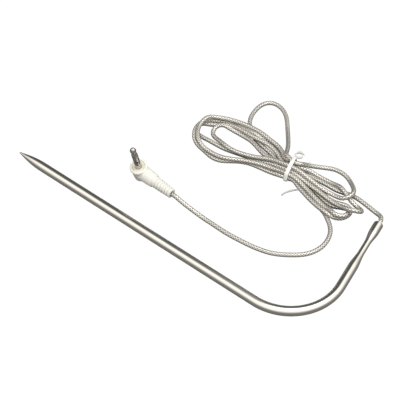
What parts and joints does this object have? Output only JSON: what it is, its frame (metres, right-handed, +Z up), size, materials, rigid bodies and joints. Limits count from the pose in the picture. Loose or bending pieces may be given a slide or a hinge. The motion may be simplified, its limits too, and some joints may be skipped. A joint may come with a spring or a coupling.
{
  "type": "meat thermometer",
  "caption": "Bent steel temperature probe with a pointed tip on a thin steel-braided cable, folded into a tied hank and ending in a right-angle jack plug.",
  "frame": {"origin": "on the ground, under the middle of the bounding box of the probe itself (tube and liner, without the cable and what is on it)", "axes": "+X along the probe's straight run, from its pointed tip towards the bend; +Y the way the bent leg points; +Z up from the surface it lies on"},
  "size_m": [0.1384, 0.0868, 0.0197],
  "materials": {
    "tube_steel": "polished drawn stainless steel tube",
    "braid": "fine stainless steel wire braid",
    "filler": "heat-conducting ceramic filler",
    "bead": "glass-coated sensor bead",
    "copper": "tinned copper alloy",
    "lead_sleeve": "thin amber insulating sleeve",
    "shrink_sleeve": "black shrunk sleeve",
    "core_insulation": "off-white heat-proof wire insulation",
    "liner": "translucent heat-proof plastic liner",
    "tie": "white plastic ribbon",
    "plug_plastic": "soft white moulded plastic",
    "insert_plastic": "cream moulded plastic insert",
    "contact_nickel": "nickel-plated brass contacts",
    "contact_insulator": "black moulded insulator rings"
  },
  "bodies": {
    "root": {"probe_tube": "tube_steel", "tip_filler": "filler", "thermistor_bead": "bead", "bead_lead_a": "copper", "bead_lead_b": "copper", "lead_sleeve_a": "lead_sleeve", "lead_sleeve_b": "lead_sleeve", "splice_barrel_a": "copper", "splice_barrel_b": "copper", "splice_sleeve": "shrink_sleeve", "core_wire_a": "core_insulation", "core_wire_b": "core_insulation", "braid_end_probe": "braid", "end_liner": "liner", "cable_probe_side": "braid", "cable_loop": "braid", "cable_hank": "braid", "cable_plug_side": "braid", "twist_tie": "tie", "tie_wire": "copper", "plug_housing": "plug_plastic", "plug_insert": "insert_plastic", "jack_sleeve": "contact_nickel", "rear_insulator": "contact_insulator", "jack_ring": "contact_nickel", "front_insulator": "contact_insulator", "jack_tip": "contact_nickel", "sleeve_terminal": "contact_nickel", "ring_terminal": "contact_nickel", "tip_terminal": "contact_nickel", "braid_end_plug": "braid", "braid_ferrule": "copper", "plug_wire_a": "core_insulation", "plug_wire_b": "core_insulation"}
  },
  "joints": []
}
